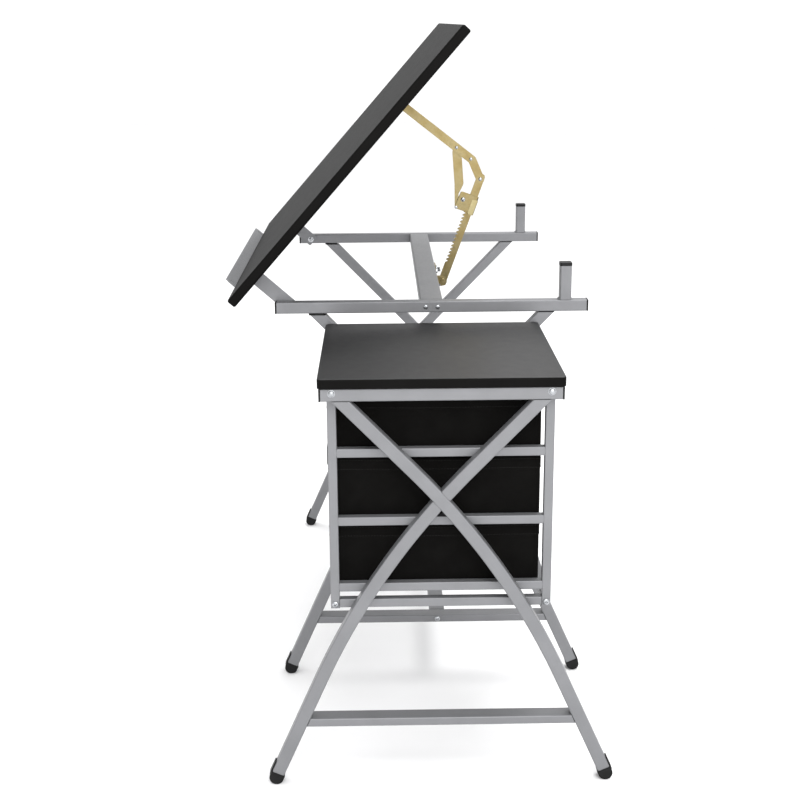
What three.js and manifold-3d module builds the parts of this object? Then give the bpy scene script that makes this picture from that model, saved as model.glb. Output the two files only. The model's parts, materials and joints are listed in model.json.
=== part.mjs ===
// Drafting table: a tilting drawing board on two rails, a fixed side top over three fabric drawers,
// and three welded X frames that carry them. Millimetres. +X to the right of the person who sits at
// the table, +Y to the back, +Z up. The origin is on the floor, under the middle of the overall box.
import * as THREE from 'three';
import { mergeVertices } from 'three/addons/utils/BufferGeometryUtils.js';
import Module from 'manifold-3d';

const wasm = await Module();
wasm.setup();

// ---- Driving dimensions ----
const GAP = 0.3;                      // between pieces that touch
const TUBE = 20;                      // square tube of rails and legs
const WALL = 1.2;                     // its wall
const RIGHT_END = 615;                // right edge of the side top
const MID_Y = 48;                     // the stand's middle plane, behind the middle of the whole

const BOARD = { length: 900, depth: 600, thick: 17, corner: 4 };
const BOARD_OVERHANG = 55;            // past each rail's outer face
const TILT = THREE.MathUtils.degToRad(48.45);
const PIVOT = { y: -246, z: 695, fromEdge: 50, under: 75.5 };   // under: from the pivot to the board

const RAIL = { top: 705, length: 544, spacing: 790 };           // spacing: over the outer faces
const CAP = 2.7;                      // head of an end cap
const POST = { y: 232, top: 770 };    // rest posts under the board's back
const BOLT = { shank: 4, bore: 4.4, head: 7.5 };                // the board's pivot bolts, radii
const CROSSBAR_WIDTH = 40;

const LEG = { topY: 200, topSlope: 46, footY: 268, footSlope: 66, bend: 1190 };
const FOOT = { radius: 11.5, neck: 7, tab: 16 };
const STRETCHER = { bottom: 100, height: 14, depth: 28 };
const BEAM_Y = 10;

const SIDE = { length: 380, width: 368, thick: 15, top: 668, corner: 7, inset: 4, rail: 364, toRail: 5 };
const LADDER = { tube: 14, halfWidth: 171, bottom: 294, barTops: [553.5, 444, 335.5], footBarTop: 309 };
const RUNNER = { reach: 11, thick: 2 };
const DRAWER = { front: -177, back: 154, wall: 3, heights: [90, 102, 102] };

const LEDGE = { length: 620, height: 36, raised: 20, thick: 2, lip: 5, corner: 10, slot: 6, slotIn: 20 };
const STAY_X = -165;                  // the ratchet stay's own plane
const BASE = { y: 37, z: 668 };       // lower pivot of the ratchet bar
const ELBOW = { y: 111, z: 870 };     // ratchet bar to arm
const ARM_END = { along: 374.2, over: 61.7 };   // arm to board, from the board's pivot
const BAR_WIDTH = 16;
const ARM_WIDTH = 16.5;

// ---- Places worked out from them ----
const rightRail = RIGHT_END - SIDE.length - SIDE.toRail;        // outer face of the right rail
const leftRail = rightRail - RAIL.spacing;                      // outer face of the left rail
const railBottom = RAIL.top - TUBE;
const sideUnder = SIDE.top - SIDE.thick;
const sideRail = RIGHT_END - SIDE.inset;
const stayAngle = Math.atan2(ELBOW.z - BASE.z, ELBOW.y - BASE.y);
const barLength = Math.hypot(ELBOW.z - BASE.z, ELBOW.y - BASE.y);

// ---- Materials ----
const paint = (color, roughness, metalness = 0) =>
  new THREE.MeshStandardMaterial({ color, roughness, metalness });
const powderSteel = () => paint(0xa5a6aa, 0.45, 0.3);
const laminate = () => paint(0x2c2c2d, 0.5);
const yellowZinc = () => paint(0xb9a768, 0.4, 0.8);
const zinc = () => paint(0xc9ccd0, 0.3, 0.9);
const plastic = () => paint(0x161616, 0.5);
const fabric = () => paint(0x141414, 0.95);

// ---- Shapes and solids ----
const X = new THREE.Vector3(1, 0, 0);
const Y = new THREE.Vector3(0, 1, 0);
const Z = new THREE.Vector3(0, 0, 1);
const AXES = { x: [Y, Z, X], y: [Z, X, Y], z: [X, Y, Z] };

/** Extrudes a shape drawn across an axis, from one place to another on that axis. */
function extrude(shape, axis, from, to, curveSegments = 6) {
  const options = { depth: to - from, bevelEnabled: false, curveSegments };
  const geometry = new THREE.ExtrudeGeometry(shape, options);
  geometry.translate(0, 0, from);
  return geometry.applyMatrix4(new THREE.Matrix4().makeBasis(...AXES[axis]));
}

function polygon(points) {
  return new THREE.Shape(points.map(([u, v]) => new THREE.Vector2(u, v)));
}

function rectangle(u0, u1, v0, v1) {
  return polygon([[u0, v0], [u1, v0], [u1, v1], [u0, v1]]);
}

function roundedRectangle(u0, u1, v0, v1, radius) {
  const shape = new THREE.Shape();
  shape.absarc(u1 - radius, v1 - radius, radius, 0, Math.PI / 2);
  shape.absarc(u0 + radius, v1 - radius, radius, Math.PI / 2, Math.PI);
  shape.absarc(u0 + radius, v0 + radius, radius, Math.PI, 1.5 * Math.PI);
  shape.absarc(u1 - radius, v0 + radius, radius, 1.5 * Math.PI, 2 * Math.PI);
  return shape;
}

/** Two numbers in rising order. */
const span = (a, b) => [Math.min(a, b), Math.max(a, b)];

/** A strip with round ends along the straight line from a to b. */
function strip(a, b, radius) {
  const turn = Math.atan2(b[1] - a[1], b[0] - a[0]);
  const shape = new THREE.Shape();
  shape.absarc(b[0], b[1], radius, turn - Math.PI / 2, turn + Math.PI / 2);
  shape.absarc(a[0], a[1], radius, turn + Math.PI / 2, turn + 1.5 * Math.PI);
  return shape;
}

function box(x0, x1, y0, y1, z0, z1) {
  return extrude(rectangle(x0, x1, y0, y1), 'z', z0, z1);
}

/** A rectangular tube, open at both ends, in the box from low to high. */
function tube(axis, low, high, wall = WALL) {
  const [u, v] = { x: [1, 2], y: [2, 0], z: [0, 1] }[axis];
  const along = 'xyz'.indexOf(axis);
  const ring = rectangle(low[u], high[u], low[v], high[v]);
  ring.holes.push(rectangle(low[u] + wall, high[u] - wall, low[v] + wall, high[v] - wall));
  return extrude(ring, axis, low[along], high[along]);
}

/** A round pin along X. */
function pin(radius, y, z, x0, x1, sides = 20) {
  const geometry = new THREE.CylinderGeometry(radius, radius, x1 - x0, sides);
  return geometry.rotateZ(-Math.PI / 2).translate((x0 + x1) / 2, y, z);
}

function solid(geometry) {
  const bare = geometry.index ? geometry.toNonIndexed() : geometry.clone();
  bare.deleteAttribute('normal');
  bare.deleteAttribute('uv');
  const merged = mergeVertices(bare, 1e-4);
  return new wasm.Manifold(new wasm.Mesh({
    numProp: 3,
    vertProperties: new Float32Array(merged.attributes.position.array),
    triVerts: new Uint32Array(merged.index.array),
  }));
}

function geometryOf(manifold) {
  const { numProp, vertProperties, triVerts } = manifold.getMesh();
  const position = new Float32Array(triVerts.length * 3);
  triVerts.forEach((vertex, i) => {
    for (let k = 0; k < 3; k++) position[3 * i + k] = vertProperties[vertex * numProp + k];
  });
  const geometry = new THREE.BufferGeometry();
  geometry.setAttribute('position', new THREE.BufferAttribute(position, 3));
  geometry.computeVertexNormals();
  return geometry;
}

const join = (...parts) => parts.map(solid).reduce((whole, part) => whole.add(part));
const cut = (whole, ...parts) => parts.map(solid).reduce((rest, part) => rest.subtract(part), whole);

// ---- The scene graph ----
const model = new THREE.Group();
const stand = new THREE.Group();
stand.position.y = MID_Y;
model.add(stand);

function add(group, name, shape, material) {
  const geometry = shape.isBufferGeometry ? shape : geometryOf(shape);
  const mesh = new THREE.Mesh(geometry, material);
  mesh.name = name;
  group.add(mesh);
}

// ---- Rails, crossbar, rest posts ----
const halfRail = RAIL.length / 2;
const halfCrossbar = CROSSBAR_WIDTH / 2;

/** An end cap on a tube along Y: a head over the end and a plug inside it. */
function endCap(x0, end, z0) {
  const out = Math.sign(end);
  const inset = WALL + GAP;
  const head = box(x0, x0 + TUBE, ...span(end, end - out * CAP), z0, z0 + TUBE);
  const plugged = span(end - out * CAP / 2, end - out * (CAP + 12));
  return join(head, box(x0 + inset, x0 + TUBE - inset, ...plugged, z0 + inset, z0 + TUBE - inset));
}

function rail(side, x0, inner) {
  const outward = inner > x0 + TUBE / 2 ? 1 : -1;
  const end = halfRail - CAP - GAP;
  const body = solid(tube('y', [x0, -end, railBottom], [x0 + TUBE, end, RAIL.top]));
  const bore = pin(BOLT.bore, PIVOT.y, PIVOT.z, ...span(inner - outward * 2 * WALL, inner + outward));
  add(stand, `rail_${side}`, cut(body, bore), powderSteel());
  add(stand, `rail_cap_${side}_front`, endCap(x0, -halfRail, railBottom), plastic());
  add(stand, `rail_cap_${side}_rear`, endCap(x0, halfRail, railBottom), plastic());

  const [y0, y1] = [POST.y - TUBE / 2, POST.y + TUBE / 2];
  const postTop = POST.top - CAP - GAP;
  add(stand, `rest_post_${side}`,
    tube('z', [x0, y0, RAIL.top + GAP], [x0 + TUBE, y1, postTop]), powderSteel());
  const inset = WALL + GAP;
  const plug = box(
    x0 + inset, x0 + TUBE - inset, y0 + inset, y1 - inset, postTop - 10, POST.top - CAP / 2);
  const head = box(x0, x0 + TUBE, y0, y1, POST.top - CAP, POST.top);
  add(stand, `post_cap_${side}`, join(head, plug), plastic());

  const bolt = join(
    pin(BOLT.shank, PIVOT.y, PIVOT.z, ...span(inner - outward * 8, inner + outward * 6)),
    pin(BOLT.head, PIVOT.y, PIVOT.z, ...span(inner + outward * 3.6, inner + outward * 7.6), 24),
  );
  add(stand, `pivot_bolt_${side}`, bolt, zinc());
}

rail('right', rightRail - TUBE, rightRail - TUBE);
rail('left', leftRail, leftRail + TUBE);
add(stand, 'crossbar', tube('x',
  [leftRail + TUBE + GAP, -halfCrossbar, railBottom],
  [rightRail - TUBE - GAP, halfCrossbar, RAIL.top]), powderSteel());

// ---- X frames ----
/** Points and headings down a leg's centre line: straight, one long bend, straight to the floor. */
function legLine() {
  const [a1, a2] = [LEG.topSlope, LEG.footSlope].map(THREE.MathUtils.degToRad);
  const down = (a) => new THREE.Vector2(Math.cos(a), -Math.sin(a));
  const top = new THREE.Vector2(-LEG.topY, railBottom);
  const foot = new THREE.Vector2(LEG.footY, 0);
  const toCorner = foot.clone().sub(top).cross(down(a2)) / down(a1).cross(down(a2));
  const corner = top.clone().addScaledVector(down(a1), toCorner);
  const tangent = LEG.bend * Math.tan((a2 - a1) / 2);
  const start = corner.clone().addScaledVector(down(a1), -tangent);
  const toCentre = new THREE.Vector2(-Math.sin(a1), -Math.cos(a1)).multiplyScalar(LEG.bend);
  const centre = start.clone().add(toCentre);
  const line = [{ at: top.clone().addScaledVector(down(a1), -2 * TUBE), heading: down(a1) }];
  const steps = 10;
  for (let i = 0; i <= steps; i++) {
    const a = a1 + (a2 - a1) * i / steps;
    const at = centre.clone().add(new THREE.Vector2(Math.sin(a), Math.cos(a)).multiplyScalar(LEG.bend));
    line.push({ at, heading: down(a) });
  }
  line.push({ at: foot, heading: down(a2) });
  return line;
}

/** A band of the leg's outline, rear = 1 for leg A, whose foot is behind, and -1 for leg B. */
function legBand(rear, halfWidth) {
  const side = (sign) => legLine().map(({ at, heading }) =>
    [rear * (at.x - sign * heading.y * halfWidth), at.y + sign * heading.x * halfWidth]);
  return polygon([...side(1), ...side(-1).reverse()]);
}

const footHeading = THREE.MathUtils.degToRad(LEG.footSlope);
const footAxis = { y: Math.cos(footHeading), z: Math.sin(footHeading) };
const footCentre = LEG.footY - FOOT.radius / Math.tan(footHeading);
const crossing = (() => {
  const line = legLine();
  const after = line.findIndex(({ at }) => at.x > 0);
  const [p, q] = [line[after - 1].at, line[after].at];
  return p.y + (q.y - p.y) * -p.x / (q.x - p.x);
})();

/** A place given along and across a foot's axis, from the middle of its round end. */
const atFoot = (rear) => ([along, across]) => [
  rear * (footCentre - along * footAxis.y + across * footAxis.z),
  FOOT.radius + along * footAxis.z + across * footAxis.y,
];

/** What lies past a leg's square lower end. */
function belowLeg(rear, x0) {
  const corners = [[FOOT.neck, -40], [FOOT.neck, 40], [-60, 40], [-60, -40]];
  return extrude(polygon(corners.map(atFoot(rear))), 'x', x0 - 5, x0 + TUBE + 5);
}

function leg(rear, x0, top) {
  const whole = solid(extrude(legBand(rear, TUBE / 2), 'x', x0, x0 + TUBE));
  const inside = extrude(legBand(rear, TUBE / 2 - WALL), 'x', x0 + WALL, x0 + TUBE - WALL);
  const above = box(x0 - 5, x0 + TUBE + 5, -400, 400, top, top + 200);
  return cut(whole, inside, above, belowLeg(rear, x0));
}

/** A foot cap: round head, plug up the tube and a tab up the outer side. */
function foot(rear, x0) {
  const place = atFoot(rear);
  const arc = [];
  for (let i = 0; i <= 12; i++) {
    const a = Math.PI * (1 + i / 12);
    arc.push([FOOT.radius * Math.sin(a), FOOT.radius * Math.cos(a)]);
  }
  const head = [...arc, [FOOT.neck - GAP, FOOT.radius], [FOOT.neck - GAP, -FOOT.radius]];
  const inner = TUBE / 2 - WALL - GAP;
  const plugEnd = FOOT.neck + 12;
  const plug = [[0, -inner], [0, inner], [plugEnd, inner], [plugEnd, -inner]];
  const outer = TUBE / 2 + GAP;
  const tabEnd = FOOT.neck + FOOT.tab;
  const tab = [[0, outer], [0, outer + 2], [tabEnd, outer + 2], [tabEnd, outer]];
  return join(
    extrude(polygon(head.map(place)), 'x', x0 - 1.5, x0 + TUBE + 1.5),
    extrude(polygon(plug.map(place)), 'x', x0 + WALL + GAP, x0 + TUBE - WALL - GAP),
    extrude(polygon(tab.map(place)), 'x', x0 + 3, x0 + TUBE - 3),
  );
}

/** A stretcher between the legs, its ends cut to their slope. */
function stretcher(x0, x1) {
  const [z0, z1] = [STRETCHER.bottom, STRETCHER.bottom + STRETCHER.height];
  const inner = (z) => LEG.footY - z / Math.tan(footHeading) - (TUBE / 2) / Math.sin(footHeading) - GAP;
  const ends = polygon([[-inner(z0), z0], [inner(z0), z0], [inner(z1), z1], [-inner(z1), z1]]);
  const bar = solid(tube('y', [x0, -LEG.footY, z0], [x1, LEG.footY, z1]));
  return bar.intersect(solid(extrude(ends, 'x', x0 - 1, x1 + 1)));
}

/** One X frame. inward is -1 where the stretcher reaches to -X past the legs, 1 to +X. */
function xFrame(side, x0, top, plugged, inward) {
  const legTop = plugged ? top - CAP - 2 * GAP : top - GAP;
  const legA = leg(1, x0, legTop);
  add(stand, `leg_a_${side}`, legA, powderSteel());
  const clearance = extrude(legBand(1, TUBE / 2 + GAP), 'x', x0 - 5, x0 + TUBE + 5);
  const legB = cut(leg(-1, x0, legTop), clearance);
  const half = (z0, z1) => solid(box(x0 - 5, x0 + TUBE + 5, -400, 400, z0, z1));
  add(stand, `leg_b_upper_${side}`, legB.intersect(half(crossing, 800)), powderSteel());
  add(stand, `leg_b_lower_${side}`, legB.intersect(half(-10, crossing)), powderSteel());

  for (const [end, rear] of [['rear', 1], ['front', -1]]) {
    add(stand, `foot_${side}_${end}`, foot(rear, x0), plastic());
    if (plugged) {
      const slant = (TUBE / 2) / Math.sin(THREE.MathUtils.degToRad(LEG.topSlope));
      const across = span(rear * (LEG.topY - slant), rear * (LEG.topY + slant));
      const plug = box(x0, x0 + TUBE, ...across, top - CAP - GAP, top - GAP);
      add(stand, `leg_plug_${side}_${end}`, plug, plastic());
    }
  }
  const outer = inward < 0 ? x0 + TUBE : x0;
  const stretcherX = span(outer, outer + inward * STRETCHER.depth);
  add(stand, `stretcher_${side}`, stretcher(...stretcherX), powderSteel());
}

xFrame('right', sideRail - TUBE, sideUnder - TUBE, false, -1);
xFrame('middle', rightRail - TUBE, railBottom, true, -1);
xFrame('left', leftRail, railBottom, true, 1);
add(stand, 'long_beam', tube('x',
  [leftRail + STRETCHER.depth + GAP, BEAM_Y - STRETCHER.depth / 2, STRETCHER.bottom],
  [rightRail - STRETCHER.depth - GAP, BEAM_Y + STRETCHER.depth / 2, STRETCHER.bottom + STRETCHER.height],
), powderSteel());

// ---- Side table ----
const halfSide = SIDE.width / 2;
const sideOutline = roundedRectangle(RIGHT_END - SIDE.length, RIGHT_END, -halfSide, halfSide, SIDE.corner);
add(stand, 'side_top', extrude(sideOutline, 'z', sideUnder, SIDE.top), laminate());
const halfSideRail = SIDE.rail / 2;
add(stand, 'side_rail', tube('y',
  [sideRail - TUBE, -halfSideRail + CAP + GAP, sideUnder - TUBE],
  [sideRail, halfSideRail - CAP - GAP, sideUnder - GAP]), powderSteel());
for (const [end, sign] of [['front', -1], ['rear', 1]]) {
  const cap = endCap(sideRail - TUBE, sign * halfSideRail, sideUnder - TUBE - GAP);
  add(stand, `side_rail_cap_${end}`, cap, plastic());
}

// ---- Drawer frame: two welded ladders, foot bars, and the tubes between the ladders ----
const postTop = sideUnder - GAP;
const inPost = LADDER.halfWidth - LADDER.tube;
const thin = 1;                       // wall of the thin tube

/** A welded ladder: two posts and three bars, hollow all through, each bar with a runner strip. */
function ladder(x0, inward) {
  const x1 = x0 + LADDER.tube;
  const bars = (inset, reach) => LADDER.barTops.map((top) => box(
    x0 + inset, x1 - inset, -reach, reach, top - LADDER.tube + inset, top - inset));
  const posts = (inset, spare) => [-LADDER.halfWidth, inPost].map((y) => box(
    x0 + inset, x1 - inset, y + inset, y + LADDER.tube - inset, LADDER.bottom - spare, postTop + spare));
  const strips = LADDER.barTops.map((top) => {
    const edge = inward < 0 ? x0 : x1;
    const [a, b] = span(edge - inward * thin / 2, edge + inward * RUNNER.reach);
    return box(a, b, -inPost + 1, inPost - 1, top - LADDER.tube, top - LADDER.tube + RUNNER.thick);
  });
  const whole = join(...posts(0, 0), ...bars(0, inPost + 1), ...strips);
  return cut(whole, ...posts(thin, 5), ...bars(thin, inPost + 3));
}

const ladderRight = sideRail - TUBE - GAP - LADDER.tube;
const ladderLeft = rightRail + GAP;
for (const [side, x0, inward] of [['right', ladderRight, -1], ['left', ladderLeft, 1]]) {
  add(stand, `drawer_frame_${side}`, ladder(x0, inward), powderSteel());
  add(stand, `foot_bar_${side}`, tube('y',
    [x0, -inPost + GAP, LADDER.footBarTop - LADDER.tube],
    [x0 + LADDER.tube, inPost - GAP, LADDER.footBarTop], thin), powderSteel());
}
const between = [ladderLeft + LADDER.tube + GAP, ladderRight - GAP];
const acrossTube = (name, y0, z1) => add(stand, name, tube('x',
  [between[0], y0, z1 - LADDER.tube], [between[1], y0 + LADDER.tube, z1], thin), powderSteel());
acrossTube('frame_tube_top_front', -LADDER.halfWidth, postTop);
acrossTube('frame_tube_top_rear', inPost, postTop);
acrossTube('frame_tube_bottom_rear', inPost, LADDER.footBarTop);

// ---- Drawers: open-topped fabric bins that slide out to the front ----
['top', 'middle', 'bottom'].forEach((level, i) => {
  const z0 = LADDER.barTops[i] - LADDER.tube + RUNNER.thick + GAP;
  const [x0, x1] = [between[0] + 1.2, between[1] - 1.2];
  const outer = box(x0, x1, DRAWER.front, DRAWER.back, z0, z0 + DRAWER.heights[i]);
  const w = DRAWER.wall;
  const inside = box(x0 + w, x1 - w, DRAWER.front + w, DRAWER.back - w, z0 + w, z0 + 200);
  add(stand, `drawer_${level}`, cut(solid(outer), inside), fabric());
});

// ---- Board, its brackets and the pencil ledge: drawn flat, then tilted about the pivots ----
const boardGroup = new THREE.Group();
boardGroup.position.set(0, PIVOT.y, PIVOT.z);
boardGroup.rotation.x = TILT;
stand.add(boardGroup);

const boardRight = rightRail + BOARD_OVERHANG;
const boardEdge = -PIVOT.fromEdge;
const boardTop = PIVOT.under + BOARD.thick;
const boardOutline = roundedRectangle(
  boardRight - BOARD.length, boardRight, boardEdge, boardEdge + BOARD.depth, BOARD.corner);
add(boardGroup, 'drawing_board', extrude(boardOutline, 'z', PIVOT.under, boardTop), laminate());

/** A strap beside the rail, square to the board, with a flange under the board. */
function boardBracket(rail, inward) {
  const half = 12.5;
  const low = -8.5;
  const bevel = 5;
  const high = PIVOT.under - GAP;
  const strap = polygon([[-half, low + bevel], [-half + bevel, low], [half - bevel, low],
    [half, low + bevel], [half, high], [-half, high]]);
  const [near, far] = [rail + inward * 0.6, rail + inward * 3.1];
  const flange = box(...span(near, rail + inward * 34), -half, half, high - 2.5, high);
  const bore = pin(BOLT.bore, 0, 0, ...span(near - inward, far + inward));
  return cut(join(extrude(strap, 'x', ...span(near, far)), flange), bore);
}
add(boardGroup, 'board_bracket_right', boardBracket(rightRail - TUBE, -1), powderSteel());
add(boardGroup, 'board_bracket_left', boardBracket(leftRail + TUBE, 1), powderSteel());

/** The bracket that takes the stay's arm: a base on the board and two ears. */
function stayBoardBracket() {
  const high = PIVOT.under - GAP;
  const { along, over } = ARM_END;
  const ear = polygon([
    [along - 15, high - 1], [along - 6, over - 8], [along + 6, over - 8], [along + 15, high - 1]]);
  return join(
    box(STAY_X - 13, STAY_X + 20, along - 22, along + 22, high - 2.5, high),
    extrude(ear, 'x', STAY_X, STAY_X + 2),
    extrude(ear, 'x', STAY_X + 5.1, STAY_X + 7.1),
    pin(3.5, along, over, STAY_X + 6, STAY_X + 8.8),
  );
}
add(boardGroup, 'stay_board_bracket', stayBoardBracket(), yellowZinc());

/** The pencil ledge: a bent strip on the board's front edge, slotted so that it slides up and down. */
function pencilLedge() {
  const back = boardEdge - 0.5;
  const front = back - LEDGE.thick;
  const top = boardTop + LEDGE.raised;
  const bottom = top - LEDGE.height;
  const middle = boardRight - BOARD.length / 2;
  const [x0, x1] = [middle - LEDGE.length / 2, middle + LEDGE.length / 2];
  const lipEnd = front - LEDGE.lip;
  const section = polygon([[back, bottom], [back, top - 1], [back - 1, top], [lipEnd + 1, top],
    [lipEnd, top - 1], [lipEnd, top - 5], [lipEnd + 1.6, top - 5], [lipEnd + 1.6, top - 2],
    [front, top - 2], [front, bottom]]);
  const outline = roundedRectangle(bottom, top, x0, x1, LEDGE.corner);
  const ends = extrude(outline, 'y', lipEnd - 2, back + 2);
  const slots = [x0 + LEDGE.slotIn, x1 - LEDGE.slotIn].map((x) =>
    extrude(strip([bottom + 8, x], [top - 8, x], LEDGE.slot / 2), 'y', lipEnd - 3, back + 3));
  return cut(solid(extrude(section, 'x', x0, x1)).intersect(solid(ends)), ...slots);
}
add(boardGroup, 'pencil_ledge', pencilLedge(), powderSteel());

// ---- Ratchet stay ----
/** The bracket behind the crossbar, with the ratchet bar's lower pin. */
function stayBaseBracket() {
  const y0 = halfCrossbar + GAP;
  const low = BASE.z - 16;
  const ear = polygon([[y0 + 1, low], [BASE.y + 9, low + 4], [BASE.y + 9, BASE.z + 10],
    [BASE.y + 2, BASE.z + 20], [y0 + 1, BASE.z + 26]]);
  return join(
    box(STAY_X - 20, STAY_X + 20, y0, y0 + 2.5, low, RAIL.top - 1),
    extrude(ear, 'x', STAY_X - 5, STAY_X - 2.4),
    extrude(ear, 'x', STAY_X + 2.4, STAY_X + 5),
    pin(3, BASE.y, BASE.z, STAY_X - 6.5, STAY_X + 6.5),
  );
}
add(stand, 'stay_base_bracket', stayBaseBracket(), yellowZinc());

// The bar's own frame: y along the bar from its lower pivot, z to the side of the teeth.
const barGroup = new THREE.Group();
barGroup.position.set(STAY_X, BASE.y, BASE.z);
barGroup.rotation.x = stayAngle;
stand.add(barGroup);

const TOOTH = { pitch: 6, depth: 2.4, first: 34, count: 19 };
const half = BAR_WIDTH / 2;
const CATCH = { low: barLength - 70, high: barLength - 35, pivot: [barLength - 68.1, 25.8] };

function ratchetBar() {
  const teeth = [];
  for (let i = 0; i < TOOTH.count; i++) {
    const y = TOOTH.first + i * TOOTH.pitch;
    const root = half - TOOTH.depth;
    teeth.push([y, half], [y + TOOTH.pitch * 0.8, root], [y + TOOTH.pitch - 0.1, root]);
  }
  teeth.push([TOOTH.first + TOOTH.count * TOOTH.pitch, half]);
  const outline = polygon([[-5, -half], [barLength + 9, -half], [barLength + 9, half],
    ...teeth.reverse(), [-5, half], [-8, half - 3], [-8, 3 - half]]);
  return cut(solid(extrude(outline, 'x', -2, 2)), pin(3.5, 0, 0, -4, 4), pin(2.9, barLength, 0, -4, 4));
}
add(barGroup, 'ratchet_bar', ratchetBar(), yellowZinc());

function ratchetCatch() {
  const { low, high, pivot } = CATCH;
  const plate = polygon([[low, -10], [high, -10], [high, 28], [low + 8, 30], [low - 3, pivot[1] + 4],
    [low - 3, pivot[1] - 5], [low, 12]]);
  return join(
    extrude(plate, 'x', 2.3, 3.9),
    extrude(plate, 'x', -3.9, -2.3),
    box(-3.9, 3.9, low, high, -10, -8.5),
    box(-3.1, 3.1, low + 12, low + 24, half + 0.6, half + 4),
    pin(2.2, ...pivot, -5.2, 5.2),
    pin(4, high - 14, 18, 3, 6.4),
  );
}
add(barGroup, 'ratchet_catch', ratchetCatch(), yellowZinc());

// The arm's own frame: y from the elbow to the arm's end at the board.
const armTop = {
  y: PIVOT.y + ARM_END.along * Math.cos(TILT) - ARM_END.over * Math.sin(TILT),
  z: PIVOT.z + ARM_END.along * Math.sin(TILT) + ARM_END.over * Math.cos(TILT),
};
const armLength = Math.hypot(armTop.y - ELBOW.y, armTop.z - ELBOW.z);
const armGroup = new THREE.Group();
armGroup.position.set(STAY_X, ELBOW.y, ELBOW.z);
armGroup.rotation.x = Math.atan2(armTop.z - ELBOW.z, armTop.y - ELBOW.y);
stand.add(armGroup);

const KNEE = [38, -16.5];             // the bend in the arm
const LINK_ON_ARM = [76.9, -12.9];
const [armBack, armFront] = [2.3, 4.8];

function stayArm() {
  const width = ARM_WIDTH / 2;
  return join(
    extrude(strip([0, 0], KNEE, width), 'x', armBack, armFront),
    extrude(strip(KNEE, [armLength, 0], width), 'x', armBack, armFront),
    pin(2.4, 0, 0, -4, 6.4),
    pin(3.6, ...LINK_ON_ARM, armBack + 0.5, 6.2),
    pin(3.6, KNEE[0] + 3, KNEE[1] + 0.6, armBack + 0.5, 6.2),
  );
}
add(armGroup, 'stay_arm', stayArm(), yellowZinc());

// The link's own frame: y from the catch to the arm.
const toStand = (group, [y, z]) => {
  const angle = group.rotation.x;
  return new THREE.Vector2(group.position.y + y * Math.cos(angle) - z * Math.sin(angle),
    group.position.z + y * Math.sin(angle) + z * Math.cos(angle));
};
const linkFoot = toStand(barGroup, CATCH.pivot);
const linkHead = toStand(armGroup, LINK_ON_ARM);
const linkGroup = new THREE.Group();
linkGroup.position.set(STAY_X, linkFoot.x, linkFoot.y);
linkGroup.rotation.x = Math.atan2(linkHead.y - linkFoot.y, linkHead.x - linkFoot.x);
stand.add(linkGroup);

function stayLink() {
  const length = linkFoot.distanceTo(linkHead);
  const x = [-1.3, 1.3];
  const taper = polygon([[0, -5], [44, -9], [length - 10, -8], [length - 10, 8], [0, 5]]);
  const head = strip([length - 12, 0], [length, 0], 8);
  const link = join(extrude(taper, 'x', ...x), extrude(head, 'x', ...x), pin(5, 0, 0, ...x));
  return cut(link, pin(2.7, 0, 0, -3, 3));
}
add(linkGroup, 'stay_link', stayLink(), yellowZinc());

export default model;
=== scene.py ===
"""Looks of the drafting table: camera, light, materials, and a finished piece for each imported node.

Metres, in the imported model's frame: +X to the right of the person at the table, +Y to the back,
+Z up. Every piece is built in place, from its node's box or mesh and from sizes shared with the
CAD model, and rides on its node's body.
"""
import math

import bmesh
import bpy
from mathutils import Matrix, Vector, noise
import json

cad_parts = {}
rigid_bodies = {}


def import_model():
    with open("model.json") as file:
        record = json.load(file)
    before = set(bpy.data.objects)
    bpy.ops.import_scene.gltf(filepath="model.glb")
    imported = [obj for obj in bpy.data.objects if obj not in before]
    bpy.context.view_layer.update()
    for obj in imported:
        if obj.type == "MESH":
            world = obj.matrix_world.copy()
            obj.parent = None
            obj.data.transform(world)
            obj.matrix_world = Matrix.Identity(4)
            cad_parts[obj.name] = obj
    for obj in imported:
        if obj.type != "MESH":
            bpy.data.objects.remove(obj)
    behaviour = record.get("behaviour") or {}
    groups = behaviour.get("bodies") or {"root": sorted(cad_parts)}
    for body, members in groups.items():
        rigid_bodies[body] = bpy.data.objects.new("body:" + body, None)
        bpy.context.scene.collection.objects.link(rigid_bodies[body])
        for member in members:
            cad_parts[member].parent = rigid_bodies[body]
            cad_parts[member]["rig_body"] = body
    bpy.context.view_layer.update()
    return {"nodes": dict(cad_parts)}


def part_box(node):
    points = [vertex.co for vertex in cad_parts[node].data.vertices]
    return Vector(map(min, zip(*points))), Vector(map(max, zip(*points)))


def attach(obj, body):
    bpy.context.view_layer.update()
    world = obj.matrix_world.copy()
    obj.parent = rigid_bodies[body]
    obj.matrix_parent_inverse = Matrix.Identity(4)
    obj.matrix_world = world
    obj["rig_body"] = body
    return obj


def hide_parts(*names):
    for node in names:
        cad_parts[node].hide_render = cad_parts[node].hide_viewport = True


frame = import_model()

MM = 0.001
X = Vector((1, 0, 0))
Y = Vector((0, 1, 0))
Z = Vector((0, 0, 1))
AXES = (X, Y, Z)

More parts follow.
